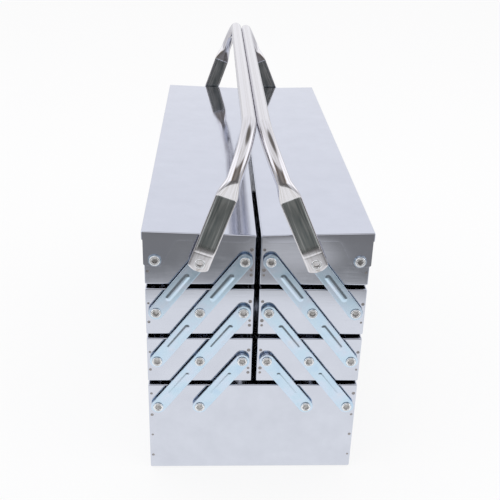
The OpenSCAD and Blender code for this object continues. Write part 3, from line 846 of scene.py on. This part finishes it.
# %% [markdown]
# ## Dividers
# The cells in the trays are made by flat plates with welded flanges. The CAD solids already
# have that shape, so they stay, and only take the sheet's finish.

# %% Dividers take the sheet's finish
for name, node_object in nodes.items():
    if "divider" in name:
        node_object.data.materials.clear()
        node_object.data.materials.append(stainless)
print("dividers dressed")

# %% [markdown]
# ## The studio
# Polished steel shows little but its surroundings, so the surroundings are painted with care:
# white at the sides, behind and above, a white floor near the box, and a darker room in front of
# it that the upright faces pick up as they rise. A dark patch overhead draws the soft spots on
# the handles' bends. The camera itself sees plain white everywhere. Real cards and lamps could do
# the same, but a painted room keeps the light itself even.

# %% Floor
floor_half, floor_z = 12.0, -0.0002
floor_mesh = bpy.data.meshes.new("studio_floor")
floor_mesh.from_pydata([(-floor_half, -floor_half, floor_z), (floor_half, -floor_half, floor_z),
                        (floor_half, floor_half, floor_z), (-floor_half, floor_half, floor_z)],
                       [], [(0, 1, 2, 3)])
floor = bpy.data.objects.new("studio_floor", floor_mesh)
bpy.context.scene.collection.objects.link(floor)
paper = bpy.data.materials.new("paper_floor")
paper.use_nodes = True
tree = paper.node_tree
tree.nodes.clear()
place = add(tree, "ShaderNodeTexCoord").outputs["Object"]
# The tone that metal sees, by the distance from the middle in metres: white, then grey.
away = add(tree, "ShaderNodeVectorMath", {0: place}, operation="LENGTH")
ring_tones = ramp(tree, away.outputs["Value"], [(0.0, "#FFFFFF"), (0.595, "#FFFFFF"), (0.66, "#A4A4A4"),
                                                (0.70, "#888888"), (0.80, "#8C8B8A"), (0.95, "#6E6C6B")])
# A pale card on the floor gives the right lid and tray their brighter patch.
spot = add(tree, "ShaderNodeVectorMath", {0: place, 1: (0.09, -0.745, 0.0)}, operation="DISTANCE")
card = add(tree, "ShaderNodeMapRange", {"Value": spot.outputs["Value"], "From Min": 0.1,
                                        "From Max": 0.03}, interpolation_type="SMOOTHSTEP")
lit_tones = add(tree, "ShaderNodeMix", {0: card.outputs[0], 6: ring_tones, 7: linear("#D2D1D0")},
                data_type="RGBA")
# Under the box the floor is painted dark: a painted shadow, as under anything that stands on a floor.
shadow_scale = (1 / 0.0985, 1 / 0.2485, 0.0)
shape = add(tree, "ShaderNodeVectorMath", {0: place, 1: shadow_scale}, operation="MULTIPLY")
folded = add(tree, "ShaderNodeVectorMath", {0: shape.outputs[0]}, operation="ABSOLUTE")
square = add(tree, "ShaderNodeSeparateXYZ", {0: folded.outputs[0]})
furthest = add(tree, "ShaderNodeMath", {0: square.outputs["X"], 1: square.outputs["Y"]},
               operation="MAXIMUM")
under = add(tree, "ShaderNodeMath", {0: furthest.outputs[0], 1: 1.0}, operation="LESS_THAN")
near_tones = add(tree, "ShaderNodeMix", {0: under.outputs[0], 6: lit_tones.outputs[2],
                                         7: linear("#303034")}, data_type="RGBA")
# The grey lies in front only: beside and behind the box the floor stays pale.
ground_way = add(tree, "ShaderNodeSeparateXYZ", {0: place})
to_side = add(tree, "ShaderNodeMath", {0: ground_way.outputs["X"]}, operation="ABSOLUTE")
forwards = add(tree, "ShaderNodeMath", {0: ground_way.outputs["Y"], 1: -1.0}, operation="MULTIPLY")
to_front = add(tree, "ShaderNodeMath", {0: forwards.outputs[0], 1: 0.01}, operation="MAXIMUM")
slant = add(tree, "ShaderNodeMath", {0: to_side.outputs[0], 1: to_front.outputs[0]}, operation="DIVIDE")
aside = add(tree, "ShaderNodeMapRange", {"Value": slant.outputs[0], "From Min": 0.7, "From Max": 1.3},
            interpolation_type="SMOOTHSTEP")
outer = add(tree, "ShaderNodeMapRange", {"Value": away.outputs["Value"], "From Min": 0.3,
                                         "From Max": 0.6})
beside = add(tree, "ShaderNodeMath", {0: aside.outputs[0], 1: outer.outputs[0]}, operation="MULTIPLY")
floor_tones = add(tree, "ShaderNodeMix", {0: beside.outputs[0], 6: near_tones.outputs[2],
                                          7: linear("#DEDEE2")}, data_type="RGBA").outputs[2]
# The camera and matte light see plain paper that is mostly lit from within, with its shadow.
mirror_view = add(tree, "ShaderNodeEmission", {"Color": floor_tones, "Strength": 1.0})
matte = add(tree, "ShaderNodeBsdfDiffuse", {"Color": linear("#F4F4F4")})
glow = add(tree, "ShaderNodeEmission", {"Color": linear("#FFFFFF"), "Strength": 1.0})
seen = add(tree, "ShaderNodeMixShader", {0: 0.82, 1: matte.outputs[0], 2: glow.outputs[0]})
rays = add(tree, "ShaderNodeLightPath")
sharp = add(tree, "ShaderNodeMath", {0: rays.outputs["Is Glossy Ray"],
                                     1: rays.outputs["Is Transmission Ray"]}, operation="MAXIMUM")
chosen = add(tree, "ShaderNodeMixShader", {0: sharp.outputs[0], 1: seen.outputs[0],
                                           2: mirror_view.outputs[0]})
add(tree, "ShaderNodeOutputMaterial", {"Surface": chosen.outputs[0]})
floor_mesh.materials.append(paper)
print("floor ready")

# %% Room
world = bpy.data.worlds.new("studio_room")
bpy.context.scene.world = world
world.use_nodes = True
tree = world.node_tree
tree.nodes.clear()
direction = add(tree, "ShaderNodeTexCoord").outputs["Generated"]
split = add(tree, "ShaderNodeSeparateXYZ", {0: direction})
# The dark room: towards the front, and up to about 30 degrees above the horizon.
front = add(tree, "ShaderNodeMapRange", {"Value": split.outputs["Y"], "From Min": -0.1,
                                         "From Max": -0.45}, interpolation_type="SMOOTHSTEP")
below = add(tree, "ShaderNodeMapRange", {"Value": split.outputs["Z"], "From Min": 0.60, "From Max": 0.46},
            interpolation_type="SMOOTHSTEP")
in_front = add(tree, "ShaderNodeMath", {0: front.outputs[0], 1: below.outputs[0]}, operation="MULTIPLY")
sideways = add(tree, "ShaderNodeMath", {0: split.outputs["X"]}, operation="ABSOLUTE")
front_tone = ramp(tree, sideways.outputs[0], [(0.0, "#96908B"), (0.3, "#7F7A76"), (0.52, "#605A56"),
                                              (0.64, "#B0A090"), (0.74, "#FCFCFF")])
# The patch overhead, where the way seen is within about 33 degrees of the boom's.
boom_way = add(tree, "ShaderNodeVectorMath", {0: direction, 1: (0.33, 0.12, 0.936)},
               operation="DOT_PRODUCT")
boom = add(tree, "ShaderNodeMapRange", {"Value": boom_way.outputs["Value"], "From Min": 0.84,
                                        "From Max": 0.98}, interpolation_type="SMOOTHSTEP")
boom_tone = add(tree, "ShaderNodeMix", {0: boom.outputs[0], 6: linear("#FCFCFF"),
                                        7: linear("#77736E")}, data_type="RGBA")
room_tone = add(tree, "ShaderNodeMix", {0: in_front.outputs[0], 6: boom_tone.outputs[2],
                                        7: front_tone}, data_type="RGBA")
# The sides are brighter than white paper, as diffuser panels close to an object are.
flank = add(tree, "ShaderNodeMapRange", {"Value": sideways.outputs[0], "From Min": 0.6, "From Max": 0.85,
                                         "To Min": 1.0, "To Max": 1.35}, interpolation_type="SMOOTHSTEP")
room = add(tree, "ShaderNodeBackground", {"Color": room_tone.outputs[2], "Strength": flank.outputs[0]})
white = add(tree, "ShaderNodeBackground", {"Color": linear("#FFFFFF"), "Strength": 1.0})
rays = add(tree, "ShaderNodeLightPath")
view = add(tree, "ShaderNodeMixShader", {0: rays.outputs["Is Camera Ray"], 1: room.outputs[0],
                                         2: white.outputs[0]})
add(tree, "ShaderNodeOutputWorld", {"Surface": view.outputs[0]})
print("room ready")

# %% Soft light
lamp_data = bpy.data.lights.new("softbox", "AREA")
lamp_data.shape = "RECTANGLE"
lamp_data.size, lamp_data.size_y = 2.4, 2.0
lamp_data.energy = 14.0
lamp = bpy.data.objects.new("softbox", lamp_data)
lamp.location = (0.2, -0.3, 2.3)
lamp.rotation_euler = (0.15, 0.1, 0.0)
lamp.visible_glossy = False
bpy.context.scene.collection.objects.link(lamp)
print("softbox ready")

# %% [markdown]
# ## Colours as they are
# The dressed model has to stay in the CAD model's box. The colours are shown as they are,
# without a film look.

# %% Show the colours without a film look
bpy.context.scene.view_settings.view_transform = "Standard"
